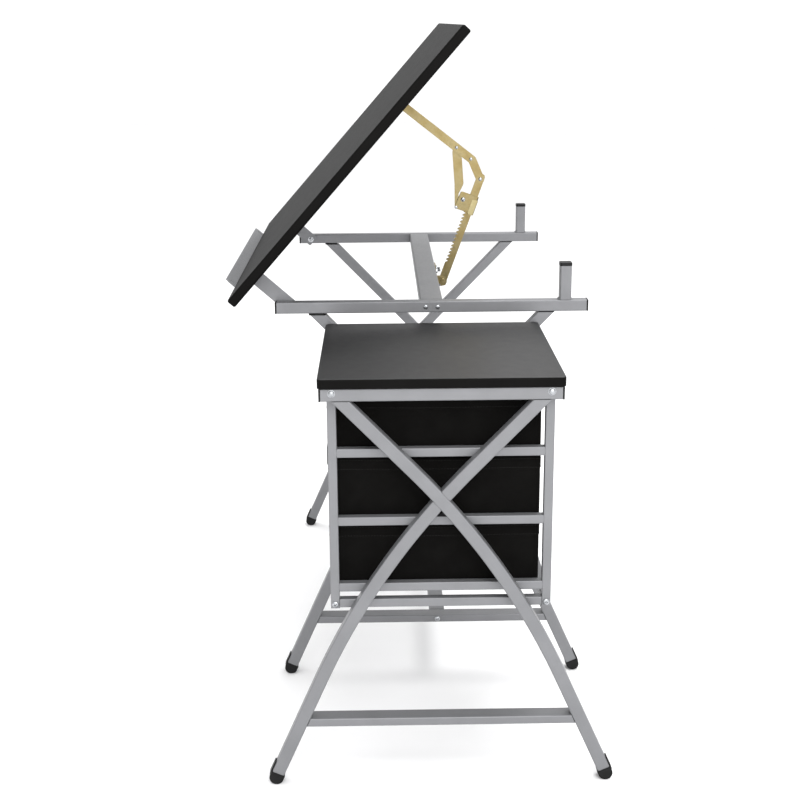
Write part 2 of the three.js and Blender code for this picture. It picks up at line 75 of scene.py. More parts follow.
# Sizes shared with the CAD model.
MID_Y = 48 * MM  # the X frames' middle
GAP = 0.3 * MM  # between parts that touch
TUBE = 20 * MM
WALL = 1.2 * MM
THIN = 1.0 * MM
TUBE_CORNER = 2.2 * MM
THIN_CORNER = 1.5 * MM
RAIL_BOTTOM = 685 * MM
LEG_TOP_Y = 200 * MM
LEG_FOOT_Y = 268 * MM
LEG_TOP_SLOPE = math.radians(46)
LEG_FOOT_SLOPE = math.radians(66)
LEG_BEND = 1190 * MM
FOOT_RADIUS = 11.5 * MM
FOOT_NECK = 7 * MM
LADDER_TUBE = 14 * MM
RUNNER_REACH = 11 * MM
RUNNER_THICK = 2 * MM
BAR_TOPS = (553.5 * MM, 444 * MM, 335.5 * MM)
TILT = math.radians(48.45)
PIVOT_Y = MID_Y - 246 * MM
PIVOT_Z = 695 * MM


# ---- Camera and lights ----
CAMERA_PLACE = (2.5321, -0.0400, 1.1749)
CAMERA_YAW = math.radians(-0.789)
CAMERA_PITCH = math.radians(15.693)
CAMERA_ROLL = math.radians(-0.424)
CAMERA_LENS = 60.93
SENSOR_WIDTH = 36
CLIP_NEAR, CLIP_FAR = 0.05, 60
WORLD_STRENGTH = 1.15
LIGHTS = (
    # name, place, target, size in metres, power in watts
    ("front_box", (4.6, 0.5, 1.3), (0, 0, 0.6), 4.4, 112),
    ("high_box", (3.3, 0.9, 3.3), (0, 0, 0.5), 2.4, 95),
    ("top_box", (-0.9, 0.3, 3.9), (0, 0, 0.6), 2.4, 95))


def make_camera():
    """The camera beyond the side table's end, level with the top of the tilted board."""
    yaw, pitch, roll = CAMERA_YAW, CAMERA_PITCH, CAMERA_ROLL
    ahead = Vector((
        -math.cos(pitch) * math.cos(yaw), -math.cos(pitch) * math.sin(yaw), -math.sin(pitch)))
    level = ahead.cross(Z).normalized()
    over = level.cross(ahead)
    right = level * math.cos(roll) + over * math.sin(roll)
    up = over * math.cos(roll) - level * math.sin(roll)
    data = bpy.data.cameras.new("camera")
    data.sensor_width = SENSOR_WIDTH
    data.lens = CAMERA_LENS
    data.clip_start = CLIP_NEAR
    data.clip_end = CLIP_FAR
    camera = bpy.data.objects.new("camera", data)
    bpy.context.scene.collection.objects.link(camera)
    turn = Matrix((right, up, -ahead)).transposed().to_4x4()
    camera.matrix_world = Matrix.Translation(CAMERA_PLACE) @ turn
    bpy.context.scene.camera = camera


def make_light(name, place, target, size, power):
    """A square soft box at a place, turned to a target."""
    data = bpy.data.lights.new(name, "AREA")
    data.shape = "SQUARE"
    data.size = size
    data.energy = power
    lamp = bpy.data.objects.new(name, data)
    bpy.context.scene.collection.objects.link(lamp)
    lamp.location = place
    lamp.rotation_euler = (Vector(target) - Vector(place)).to_track_quat("-Z", "Y").to_euler()


def make_world():
    """An even white surround."""
    world = bpy.data.worlds.new("studio")
    world.use_nodes = True
    background = world.node_tree.nodes["Background"]
    background.inputs["Color"].default_value = (1, 1, 1, 1)
    background.inputs["Strength"].default_value = WORLD_STRENGTH
    bpy.context.scene.world = world
    bpy.context.scene.view_settings.view_transform = "Standard"


make_camera()
make_world()
for light in LIGHTS:
    make_light(*light)


# ---- Materials ----
RAMP_LOW, RAMP_HIGH = 0.3, 0.7  # the part of a noise value's range that the colours share


def node_of(tree, kind, **values):
    """A new shader node, with its sockets set by name."""
    made = tree.nodes.new(kind)
    for socket, value in values.items():
        made.inputs[socket].default_value = value
    return made


def pattern(tree, kind, output, **values):
    """A texture's output, laid out in the object's own coordinates."""
    place = node_of(tree, "ShaderNodeTexCoord")
    texture = node_of(tree, kind, **values)
    tree.links.new(place.outputs["Object"], texture.inputs["Vector"])
    return texture, texture.outputs[output]


def noise_value(tree, scale, detail):
    return pattern(tree, "ShaderNodeTexNoise", "Fac", Scale=scale, Detail=detail)[1]


def grain(scale, detail):
    """A bump of fine noise."""
    return lambda tree: noise_value(tree, scale, detail)


def cells(scale):
    """A bump of small cells, as orange peel in paint."""
    return lambda tree: pattern(tree, "ShaderNodeTexVoronoi", "Distance", Scale=scale)[1]


def threads(scale, direction):
    """A bump of threads that repeat along an axis."""
    def value(tree):
        texture, out = pattern(tree, "ShaderNodeTexWave", "Fac", Scale=scale, Distortion=0.6)
        texture.bands_direction = direction
        return out
    return value


def ramp(tree, value, colors):
    """Colours spread evenly over the middle of a noise value's range."""
    made = node_of(tree, "ShaderNodeValToRGB")
    made.color_ramp.elements[0].position = RAMP_LOW
    made.color_ramp.elements[1].position = RAMP_HIGH
    made.color_ramp.elements[0].color = (*colors[0], 1)
    made.color_ramp.elements[1].color = (*colors[-1], 1)
    for i, color in enumerate(colors[1:-1], 1):
        position = RAMP_LOW + (RAMP_HIGH - RAMP_LOW) * i / (len(colors) - 1)
        made.color_ramp.elements.new(position).color = (*color, 1)
    tree.links.new(value, made.inputs["Fac"])
    return made.outputs["Color"]


def finish(name, colors, patch, roughness, metallic, specular, bumps):
    """A surface whose colour and gloss drift in patches, with bumps as (value function, depth)."""
    made = bpy.data.materials.new(name)
    made.use_nodes = True
    tree = made.node_tree
    shader = tree.nodes["Principled BSDF"]
    shader.inputs["Metallic"].default_value = metallic
    shader.inputs["Specular IOR Level"].default_value = specular
    tree.links.new(ramp(tree, noise_value(tree, patch, 4), colors), shader.inputs["Base Color"])
    low, high = roughness
    spread = node_of(tree, "ShaderNodeMapRange", **{"To Min": low, "To Max": high})
    tree.links.new(noise_value(tree, patch * 6, 3), spread.inputs["Value"])
    tree.links.new(spread.outputs["Result"], shader.inputs["Roughness"])
    below = None
    for value, depth in bumps:
        bump = node_of(tree, "ShaderNodeBump", Strength=1.0, Distance=depth)
        tree.links.new(value(tree), bump.inputs["Height"])
        if below:
            tree.links.new(below, bump.inputs["Normal"])
        below = bump.outputs["Normal"]
    tree.links.new(below, shader.inputs["Normal"])
    return made


STEEL = finish(
    "silver_powder_coat", ((0.161, 0.163, 0.17), (0.179, 0.181, 0.189)), 22, (0.38, 0.5), 0.35, 0.45,
    ((grain(900, 3), 0.00009), (cells(2600), 0.00002)))
WELD = finish(
    "painted_weld", ((0.145, 0.147, 0.153), (0.178, 0.18, 0.188)), 120, (0.4, 0.55), 0.35, 0.45,
    ((grain(1400, 3), 0.00015),))
LAMINATE = finish(
    "black_laminate", ((0.0066, 0.0066, 0.0068), (0.0092, 0.0092, 0.0094)), 9, (0.4, 0.47), 0.0, 0.3,
    ((grain(1500, 3), 0.00006), (cells(900), 0.00003)))
DESK_LAMINATE = finish(
    "black_desk_laminate", ((0.0066, 0.0066, 0.0068), (0.0088, 0.0088, 0.009)), 9, (0.6, 0.68), 0.0, 0.1,
    ((grain(1500, 3), 0.00007), (cells(900), 0.00004)))
EDGE_BAND = finish(
    "black_edge_band", ((0.0022, 0.002, 0.0018), (0.0034, 0.0032, 0.003)), 14, (0.42, 0.5), 0.0, 0.05,
    ((grain(1900, 2), 0.00004),))
YELLOW_ZINC = finish(
    "yellow_zinc",
    ((0.22, 0.168, 0.072), (0.25, 0.195, 0.086), (0.265, 0.215, 0.108), (0.23, 0.187, 0.088)), 48,
    (0.28, 0.44), 0.85, 0.5, ((grain(600, 2), 0.00004), (grain(2400, 2), 0.00002)))
BRIGHT_ZINC = finish(
    "bright_zinc", ((0.3, 0.31, 0.32), (0.42, 0.43, 0.45)), 160, (0.2, 0.36), 0.95, 0.5,
    ((grain(1500, 2), 0.00003),))
PLASTIC = finish(
    "black_plastic", ((0.0045, 0.0045, 0.0045), (0.0075, 0.0075, 0.008)), 60, (0.4, 0.55), 0.0, 0.16,
    ((grain(2600, 2), 0.00004),))
FABRIC = finish(
    "black_nonwoven", ((0.0019, 0.0017, 0.0015), (0.0032, 0.003, 0.0027)), 35, (0.8, 0.95), 0.0, 0.06,
    ((threads(420, "X"), 0.00010), (threads(420, "Y"), 0.00010), (threads(420, "Z"), 0.00010),
     (grain(2200, 3), 0.00010)))
CLIP_ZINC = finish(
    "bright_yellow_zinc", ((0.3, 0.25, 0.12), (0.35, 0.3, 0.165)), 60, (0.26, 0.36), 0.85, 0.5,
    ((grain(900, 2), 0.00003),))
WEBBING = finish(
    "black_webbing", ((0.004, 0.0038, 0.0036), (0.008, 0.0076, 0.0072)), 200, (0.65, 0.8), 0.0, 0.12,
    ((threads(260, "Z"), 0.00030), (threads(520, "X"), 0.00020)))
THREAD = finish(
    "black_thread", ((0.008, 0.0076, 0.0072), (0.014, 0.0134, 0.0128)), 400, (0.5, 0.7), 0.0, 0.2,
    ((grain(3000, 2), 0.00010),))
SHEEN_WEIGHT = 0.02  # the cloth's faint bloom
FABRIC.node_tree.nodes["Principled BSDF"].inputs["Sheen Weight"].default_value = SHEEN_WEIGHT


FLOOR_HALF = 14
FLOOR_DROP = 0.5 * MM  # keeps the floor clear of the feet


def make_floor():
    """A wide pale floor, with a faint unevenness of its own."""
    white = finish(
        "pale_floor", ((0.86, 0.86, 0.865), (0.9, 0.9, 0.905)), 3, (0.7, 0.85), 0.0, 0.1,
        ((grain(300, 2), 0.00004),))
    grid = bmesh.new()
    bmesh.ops.create_grid(grid, x_segments=12, y_segments=12, size=FLOOR_HALF)
    data = bpy.data.meshes.new("floor")
    grid.to_mesh(data)
    grid.free()
    data.materials.append(white)
    ground = bpy.data.objects.new("floor", data)
    ground.location.z = -FLOOR_DROP
    bpy.context.scene.collection.objects.link(ground)


make_floor()


# ---- Mesh code ----
def section(width, height, radius, steps=4):
    """Points round a rectangle with round corners, about its middle."""
    points = []
    for quarter, (a, b) in enumerate(((1, 1), (-1, 1), (-1, -1), (1, -1))):
        for i in range(steps + 1):
            turn = (quarter + i / steps) * math.pi / 2
            points.append((
                a * (width / 2 - radius) + radius * math.cos(turn),
                b * (height / 2 - radius) + radius * math.sin(turn)))
    return points


class Build:
    """Gathers points and faces, and makes one object of them."""

    def __init__(self):
        self.points = []
        self.faces = []

    def ring(self, points):
        first = len(self.points)
        self.points.extend(points)
        return list(range(first, len(self.points)))

    def skin(self, a, b):
        """Faces between two closed rings of equal count."""
        for i in range(len(a)):
            j = (i + 1) % len(a)
            self.faces.append((a[i], a[j], b[j], b[i]))

    def loft(self, rings, capped=True):
        made = [self.ring(points) for points in rings]
        for a, b in zip(made, made[1:]):
            self.skin(a, b)
        if capped:
            self.faces.append(tuple(reversed(made[0])))
            self.faces.append(tuple(made[-1]))
        return made

    def stamp(self, points, faces, matrix):
        first = len(self.points)
        self.points.extend(matrix @ Vector(p) for p in points)
        self.faces.extend(tuple(first + i for i in face) for face in faces)

    def mesh(self, name):
        """The mesh, with every face turned outward."""
        data = bpy.data.meshes.new(name)
        data.from_pydata([tuple(p) for p in self.points], [], self.faces)
        mesh = bmesh.new()
        mesh.from_mesh(data)
        bmesh.ops.recalc_face_normals(mesh, faces=mesh.faces)
        mesh.to_mesh(data)
        mesh.free()
        return data

    def piece(self, name, finish_used, nodes=(), body=None, sharp=35, even=True):
        """The object, in place of the nodes, riding on their body or on the named one."""
        made = bpy.data.objects.new(name, self.mesh(name))
        return settle(made, finish_used, nodes, body, sharp, even)


def settle(made, finish_used, nodes, body, sharp, even=True):
    """Shades an object, smooth but for edges sharper than an angle, and hands it to the frame."""
    bpy.context.scene.collection.objects.link(made)
    made.data.materials.append(finish_used)
    made.data.shade_smooth()
    made.data.set_sharp_from_angle(angle=math.radians(sharp))
    if even:
        weighted = made.modifiers.new("even_normals", "WEIGHTED_NORMAL")
        weighted.keep_sharp = True
    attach(made, body or frame["nodes"][nodes[0]]["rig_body"])
    if nodes:
        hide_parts(*nodes)
    return made


def add_tube(build, stations, size, wall, radius, planes=(None, None)):
    """A hollow square tube through stations, each a place and two directions across. The end
    sections slide along the tube onto their planes, each a point and a normal."""
    skins = []
    for shrink, corner in ((0, radius), (2 * wall, radius / 2)):
        ring = section(size[0] - shrink, size[1] - shrink, corner)
        rings = [[at + u * a + v * b for a, b in ring] for at, u, v in stations]
        for end, plane in ((0, planes[0]), (-1, planes[1])):
            if plane:
                heading = stations[end][1].cross(stations[end][2])
                point, normal = plane
                rings[end] = [
                    p + heading * ((point - p).dot(normal) / heading.dot(normal)) for p in rings[end]]
        skins.append([build.ring(points) for points in rings])
    outer, inner = skins
    for a, b in zip(outer, outer[1:]):
        build.skin(a, b)
    for a, b in zip(inner, inner[1:]):
        build.skin(b, a)
    build.skin(inner[0], outer[0])
    build.skin(outer[-1], inner[-1])


def straight(build, low, high, axis, wall=WALL, radius=TUBE_CORNER, planes=(None, None)):
    """A straight square tube along an axis, filling a box."""
    middle = (low + high) / 2
    across, over = (axis + 1) % 3, (axis + 2) % 3
    stations = []
    for end in (low[axis], high[axis]):
        at = middle.copy()
        at[axis] = end
        stations.append((at, AXES[across], AXES[over]))
    size = (high[across] - low[across], high[over] - low[over])
    add_tube(build, stations, size, wall, radius, planes)


def turned(build, place, axis, profile, sides=24):
    """A turned shape: rings of (radius, height) along an axis from a place."""
    axis = Vector(axis).normalized()
    u = axis.orthogonal().normalized()
    v = axis.cross(u)
    rings = []
    for radius, height in profile:
        rings.append([
            Vector(place) + axis * height
            + (u * math.cos(2 * math.pi * i / sides) + v * math.sin(2 * math.pi * i / sides)) * radius
            for i in range(sides)])
    build.loft(rings)


def dome(radius, height, steps, brim):
    """The profile of a head that domes up from a short straight brim, open in its very middle."""
    points = [(radius, 0.0), (radius, brim)]
    for i in range(steps):
        a = math.pi / 2 * (i + 1) / (steps + 0.35)
        points.append((radius * math.cos(a), brim + (height - brim) * math.sin(a)))
    return points


BEAD_STEP = 0.75 * MM
BEAD_RIPPLE = 0.16  # parts of the bead's radius
BEAD_WANDER = 0.35
BEAD_SIDES = 8


def bead(build, a, b, radius, seed):
    """A weld: a line of ripples from a to b that thins out at both ends."""
    a, b = Vector(a), Vector(b)
    along = (b - a).normalized()
    length = (b - a).length
    u = along.orthogonal().normalized()
    v = along.cross(u)
    steps = max(8, int(length / BEAD_STEP))
    rings = []
    for i in range(steps + 1):
        t = i / steps
        swell = min(1.0, 5 * t + 0.25, 5 * (1 - t) + 0.25)
        ripple = 1 + BEAD_RIPPLE * math.sin(t * length / MM * 2.6 + seed)
        wander = 1 + BEAD_WANDER * noise.noise(Vector((seed * 3.1, t * 5, 0.5)))
        size = radius * swell * ripple * wander
        ring = []
        for k in range(BEAD_SIDES):
            turn = 2 * math.pi * k / BEAD_SIDES
            ring.append(a + (b - a) * t + (u * math.cos(turn) + v * math.sin(turn)) * size)
        rings.append(ring)
    build.loft(rings)


def carved(build, cutters):
    """A build's points and faces with each cutter's shape taken away."""
    whole = bpy.data.objects.new("whole", build.mesh("whole"))
    parts = [bpy.data.objects.new("cutter", cutter.mesh("cutter")) for cutter in cutters]
    for made in (whole, *parts):
        bpy.context.scene.collection.objects.link(made)
    for part in parts:
        boolean = whole.modifiers.new("cut", "BOOLEAN")
        boolean.operation = "DIFFERENCE"
        boolean.solver = "EXACT"
        boolean.object = part
    bpy.context.view_layer.update()
    result = whole.evaluated_get(bpy.context.evaluated_depsgraph_get()).to_mesh()
    points = [v.co.copy() for v in result.vertices]
    faces = [tuple(face.vertices) for face in result.polygons]
    for made in (whole, *parts):
        data = made.data
        bpy.data.objects.remove(made)
        bpy.data.meshes.remove(data)
    return points, faces


class Plane:
    """A part's own plane, square to X: along it, and out to its left."""

    def __init__(self, start, end):
        self.start = start
        self.along = (end - start).normalized()
        self.out = Vector((-self.along.y, self.along.x))

    def at(self, along, out):
        return self.start + self.along * along + self.out * out

    def place(self, x, along, out):
        p = self.at(along, out)
        return Vector((x, MID_Y + p.x, p.y))


def plate(build, plane, outline_used, x0, x1, ease=0.35 * MM):
    """A flat plate with eased edges, from its outline in a plane, between two places along X."""
    count = len(outline_used)
    middle = sum((Vector(p) for p in outline_used), Vector((0, 0))) / count

    def ring(x, inset):
        points = []
        for p in outline_used:
            p = Vector(p)
            p = p - (p - middle).normalized() * inset
            points.append(plane.place(x, p.x, p.y))
        return points

    build.loft([ring(x0, ease), ring(x0 + ease, 0), ring(x1 - ease, 0), ring(x1, ease)])


def scaled(points):
    """An outline given in millimetres, in metres."""
    return [(a * MM, b * MM) for a, b in points]


# ---- A node's own shape, finished ----
JOIN_DISTANCE = 2e-6
FLAT_ANGLE = math.radians(0.6)
EDGE_ANGLE = 32


def bare_mesh(node):
    """A node's mesh as points and faces, joined up, with no edge inside a flat face."""
    mesh = bmesh.new()
    mesh.from_mesh(frame["nodes"][node].data)
    bmesh.ops.remove_doubles(mesh, verts=mesh.verts, dist=JOIN_DISTANCE)
    bmesh.ops.dissolve_limit(mesh, angle_limit=FLAT_ANGLE, verts=mesh.verts, edges=mesh.edges)
    mesh.verts.index_update()
    points = [v.co.copy() for v in mesh.verts]
    faces = [tuple(v.index for v in face.verts) for face in mesh.faces]
    mesh.free()
    return points, faces


def refined(node, name, finish_used, edge, steps=2):
    """A node's own shape with its edges rounded."""
    points, faces = bare_mesh(node)
    data = bpy.data.meshes.new(name)
    data.from_pydata([tuple(p) for p in points], [], faces)
    made = bpy.data.objects.new(name, data)
    soft = made.modifiers.new("soft_edges", "BEVEL")
    soft.width = edge
    soft.segments = steps
    soft.limit_method = "ANGLE"
    soft.angle_limit = math.radians(EDGE_ANGLE)
    return settle(made, finish_used, (node,), None, EDGE_ANGLE)


def tube_piece(node, axis, wall=WALL, radius=TUBE_CORNER):
    """A hollow tube in place of a straight tube's node."""
    tube = Build()
    straight(tube, *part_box(node), axis, wall, radius)
    tube.piece(f"{node}_tube", STEEL, (node,))


def end_plug(node, name):
    """A tube's black end cap."""
    refined(node, name, PLASTIC, 0.9 * MM, 3)


# ---- Rails, crossbar, rest posts ----
POST_SLEEVE = 5.6 * MM  # how far a post's cap reaches down
POST_CAP = (
    # below the top, width beyond the tube's, corner radius
    (POST_SLEEVE, 0.3 * MM, 2.3 * MM), (POST_SLEEVE, 0.9 * MM, 2.6 * MM),
    (1.0 * MM, 0.9 * MM, 2.6 * MM), (0.3 * MM, 0.3 * MM, 2.4 * MM), (0, -1.4 * MM, 2.0 * MM))
CROSSBAR_CORNER = 2.6 * MM

for side in ("right", "left"):
    tube_piece(f"rail_{side}", 1)
    tube_piece(f"rest_post_{side}", 2)
    for end in ("front", "rear"):
        end_plug(f"rail_cap_{side}_{end}", f"rail_plug_{side}_{end}")
    cap_low, cap_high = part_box(f"post_cap_{side}")
    middle = (cap_low + cap_high) / 2
    rings = []
    for down, beyond, corner in POST_CAP:
        ring = section(TUBE + beyond, TUBE + beyond, corner)
        rings.append([Vector((middle.x + a, middle.y + b, cap_high.z - down)) for a, b in ring])
    cap = Build()
    cap.loft(rings)
    cap.piece(f"post_plug_{side}", PLASTIC, (f"post_cap_{side}",))
    low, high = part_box(f"rest_post_{side}")
    welds = Build()
    for y in (low.y, high.y):
        bead(welds, (low.x + 2 * MM, y, low.z), (high.x - 2 * MM, y, low.z), 2.0 * MM, y * 70)
    welds.piece(f"rest_post_welds_{side}", WELD, body="stand")

tube_piece("crossbar", 0, radius=CROSSBAR_CORNER)


# ---- X frames ----
BEND_STEPS = 26


def leg_line():
    """Places and headings down a leg's centre line, as (y, z) pairs, and where it crosses the
    middle. It is straight, then bends with one radius, then is straight again."""
    a1, a2 = LEG_TOP_SLOPE, LEG_FOOT_SLOPE

    def down(a):
        return Vector((math.cos(a), -math.sin(a)))

    top = Vector((-LEG_TOP_Y, RAIL_BOTTOM))
    foot = Vector((LEG_FOOT_Y, 0))
    reach = foot - top
    d1, d2 = down(a1), down(a2)
    to_corner = (reach.x * d2.y - reach.y * d2.x) / (d1.x * d2.y - d1.y * d2.x)
    start = top + d1 * (to_corner - LEG_BEND * math.tan((a2 - a1) / 2))
    centre = start + Vector((-math.sin(a1), -math.cos(a1))) * LEG_BEND
    line = [(top - d1 * 2 * TUBE, d1)]
    for i in range(BEND_STEPS + 1):
        a = a1 + (a2 - a1) * i / BEND_STEPS
        line.append((centre + Vector((math.sin(a), math.cos(a))) * LEG_BEND, down(a)))
    foot_middle = LEG_FOOT_Y - FOOT_RADIUS / math.tan(a2)
    end = Vector((foot_middle - FOOT_NECK * math.cos(a2), FOOT_RADIUS + FOOT_NECK * math.sin(a2)))
    line.append((end, d2))
    a = math.asin(-centre.x / LEG_BEND)
    crossing = (centre + Vector((math.sin(a), math.cos(a))) * LEG_BEND, down(a))
    return line, crossing


LINE, CROSSING = leg_line()


def leg_stations(rear, x, line):
    """The tube's stations; rear is 1 for leg A, whose foot is behind, and -1 for leg B."""
    stations = []
    for at, heading in line:
        ahead = Vector((0, rear * heading.x, heading.y))
        stations.append((Vector((x, MID_Y + rear * at.x, at.y)), X, ahead.cross(X)))
    return stations


LEG_B_RISE = 1.9 * MM  # leg B's top comes up this far round its thin plug
THIN_PLUG = 0.8 * MM
CROSS_CLEAR = 24 * MM  # no station of leg B this near to leg A's middle
CROSS_WELD = 1.4 * MM
STRETCHER_WELD = 1.5 * MM
FOOT_EDGE = 1.3 * MM


def leg_inside(z):
    """How far a leg's inner side is from the middle, low down, at a height."""
    return LEG_FOOT_Y - z / math.tan(LEG_FOOT_SLOPE) - (TUBE / 2) / math.sin(LEG_FOOT_SLOPE)


def leg_tubes(side, x, top):
    """Leg A in one length, and leg B in two that meet leg A's sides."""
    size = (TUBE, TUBE)
    top_plane = (Vector((0, 0, top)), Z)
    tube = Build()
    add_tube(tube, leg_stations(1, x, LINE), size, WALL, TUBE_CORNER, (top_plane, None))
    tube.piece(f"leg_a_{side}_tube", STEEL, (f"leg_a_{side}",))

    at, heading = CROSSING
    middle = Vector((x, MID_Y, at.y))
    normal = Vector((0, -heading.y, heading.x))
    upper = [s for s in LINE if s[0].x < -CROSS_CLEAR] + [CROSSING]
    lower = [CROSSING] + [s for s in LINE if s[0].x > CROSS_CLEAR]
    offset = normal * (TUBE / 2 + GAP)
    rise = 0 if side == "right" else LEG_B_RISE
    top_plane = (Vector((0, 0, top + rise)), Z)
    for part, line, planes in (("upper", upper, (top_plane, (middle + offset, normal))),
                               ("lower", lower, ((middle - offset, normal), None))):
        tube = Build()
        add_tube(tube, leg_stations(-1, x, line), size, WALL, TUBE_CORNER, planes)
        tube.piece(f"leg_b_{part}_{side}_tube", STEEL, (f"leg_b_{part}_{side}",))
    return middle, heading, normal


def leg_welds(side, x, middle, heading, normal, stretcher_heights):
    """Welds where leg B meets leg A, along both faces of the frame, and at the stretcher's ends."""
    welds = Build()
    b_ahead = Vector((0, -heading.x, heading.y))
    b_across = b_ahead.cross(X)
    for sign in (1, -1):
        plane_point = middle + normal * sign * (TUBE / 2)
        for face in (1, -1):
            ends = []
            for edge in (1, -1):
                p = middle + X * face * (TUBE / 2 - 1.4 * MM) + b_across * edge * (TUBE / 2 - 1.5 * MM)
                p = p + b_ahead * ((plane_point - p).dot(normal) / b_ahead.dot(normal))
                ends.append(p)
            bead(welds, *ends, CROSS_WELD, face + 2.3 * sign)
    reach = TUBE / 2 - 3 * MM
    for rear in (1, -1):
        for z in stretcher_heights:
            y = MID_Y + rear * leg_inside(z)
            bead(welds, (x - reach, y, z), (x + reach, y, z), STRETCHER_WELD, z * 40 + rear)
    welds.piece(f"leg_welds_{side}", WELD, body="stand")


def leg_top_plug(side, end):
    """The black plug in a leg's top; the rear one's head is thin, as leg B's tube comes up round it."""
    low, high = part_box(f"leg_plug_{side}_{end}")
    if end == "rear":
        low.z = high.z - THIN_PLUG
    low.y += 0.5 * MM
    high.y -= 0.5 * MM
    middle = (low + high) / 2
    ring = section(high.x - low.x - 0.6 * MM, high.y - low.y, 2 * MM)
    plug = Build()
    plug.loft([[Vector((middle.x + a, middle.y + b, z)) for a, b in ring] for z in (low.z, high.z)])
    plug.piece(f"leg_top_plug_{side}_{end}", PLASTIC, (f"leg_plug_{side}_{end}",))


def x_frame(side):
    """Two crossed legs, their welds, the stretcher, and the caps on feet and tops."""
    low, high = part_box(f"leg_a_{side}")
    x = (low.x + high.x) / 2
    middle, heading, normal = leg_tubes(side, x, high.z)
    low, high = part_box(f"stretcher_{side}")
    leg_welds(side, x, middle, heading, normal, (low.z, high.z))
    planes = []
    for rear in (-1, 1):
        point = Vector((0, MID_Y + rear * (leg_inside(low.z) - GAP), low.z))
        planes.append((point, Vector((0, rear * math.sin(LEG_FOOT_SLOPE), math.cos(LEG_FOOT_SLOPE)))))
    tube = Build()
    straight(tube, low, high, 1, planes=planes)
    tube.piece(f"stretcher_{side}_tube", STEEL, (f"stretcher_{side}",))
    for end in ("rear", "front"):
        refined(f"foot_{side}_{end}", f"foot_cap_{side}_{end}", PLASTIC, FOOT_EDGE, 3)
        if side != "right":
            leg_top_plug(side, end)


for side in ("right", "middle", "left"):
    x_frame(side)

tube_piece("long_beam", 0)
tube_piece("side_rail", 1)
for end in ("front", "rear"):
    end_plug(f"side_rail_cap_{end}", f"side_rail_plug_{end}")


# ---- Drawer frame ----
LADDER_WELD = 1.1 * MM
RUNNER_CORNER = 0.5 * MM


def ladder(side, inward):
    """Two posts, three bars and their runner strips, welded into one ladder."""
    node = f"drawer_frame_{side}"
    low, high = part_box(node)
    x0 = low.x if inward > 0 else high.x - LADDER_TUBE
    x1 = x0 + LADDER_TUBE
    frame_part = Build()
    for y in (low.y, high.y - LADDER_TUBE):
        straight(frame_part, Vector((x0, y, low.z)), Vector((x1, y + LADDER_TUBE, high.z)), 2, THIN,
                 THIN_CORNER)
    welds = Build()
    y0, y1 = low.y + LADDER_TUBE, high.y - LADDER_TUBE
    for top in BAR_TOPS:
        bottom = top - LADDER_TUBE
        straight(frame_part, Vector((x0, y0, bottom)), Vector((x1, y1, top)), 1, THIN, THIN_CORNER)
        edge = x1 if inward > 0 else x0
        strip = sorted((edge - inward * THIN / 2, edge + inward * RUNNER_REACH))
        middle = Vector(((strip[0] + strip[1]) / 2, (y0 + y1) / 2, bottom + RUNNER_THICK / 2))
        rings = []
        for y in (y0 + 1 * MM, y1 - 1 * MM):
            ring = section(RUNNER_THICK, strip[1] - strip[0], RUNNER_CORNER, 2)
            rings.append([Vector((middle.x, y, middle.z)) + Z * a + X * b for a, b in ring])
        frame_part.loft(rings)
        for y in (y0, y1):
            for x in (x0, x1):
                inset = 1.2 * MM if x == x0 else -1.2 * MM
                bead(welds, (x + inset, y, bottom + 2 * MM), (x + inset, y, top - 2 * MM), LADDER_WELD,
                     y * 90 + x * 30 + top * 9)
    frame_part.piece(f"drawer_ladder_{side}", STEEL, (node,))
    welds.piece(f"drawer_ladder_welds_{side}", WELD, body="stand")


ladder("right", -1)
ladder("left", 1)
for node, axis in (("foot_bar_right", 1), ("foot_bar_left", 1), ("frame_tube_top_front", 0),
                   ("frame_tube_top_rear", 0), ("frame_tube_bottom_rear", 0)):
    tube_piece(node, axis, THIN, THIN_CORNER)


# ---- Drawers: sewn bins of stiff cloth, open on top ----
HEM = 20 * MM
HEM_DIP = 2.4 * MM  # the rim hangs this much lower in the middle of a side
CLOTH_WALL = 3 * MM
BIN_CORNER = 5 * MM
SAG = 2.2 * MM
MIDDLE_FOLD = 1.6 * MM
FOLD_CREASE = 0.45 * MM
WRINKLE = 1.1 * MM
SMALL_WRINKLE = 0.5 * MM
FLOOR_LIFT = 0.9 * MM  # unevenness of the cloth on the bin's floor
STITCH = 4.5 * MM
STITCH_THICK = 0.28 * MM
PULL_WIDTH = 26 * MM
PULL_HEIGHT = 74 * MM
PULL_THICK = 1.5 * MM
PULL_ROOM = 5 * MM  # the cloth stands this far behind the node's front
DRAWERS = (("top", 1.7, 4 * MM), ("middle", 5.3, 7.5 * MM), ("bottom", 9.1, 4.5 * MM))


def outline(low, high, radius, spacing=9 * MM):
    """Round a bin: places, outward directions, side index, and how far along the side, 0 to 1."""
    corners = ((high.x, low.y), (high.x, high.y), (low.x, high.y), (low.x, low.y))
    outward = ((1, 0), (0, 1), (-1, 0), (0, -1))
    places = []
    for k in range(4):
        a, b = Vector(corners[k]), Vector(corners[(k + 1) % 4])
        along = (b - a).normalized()
        out = Vector(outward[k])
        start, end = a + along * radius, b - along * radius
        count = round((end - start).length / spacing)
        for i in range(count + 1):
            places.append((start.lerp(end, i / count), out, k, i / count))
        out_next = Vector(outward[(k + 1) % 4])
        centre = end - out * radius
        for i in range(1, 4):
            turn = i / 4 * math.pi / 2
            direction = out * math.cos(turn) + out_next * math.sin(turn)
            places.append((centre + direction * radius, direction, k, 1.0))
    return places


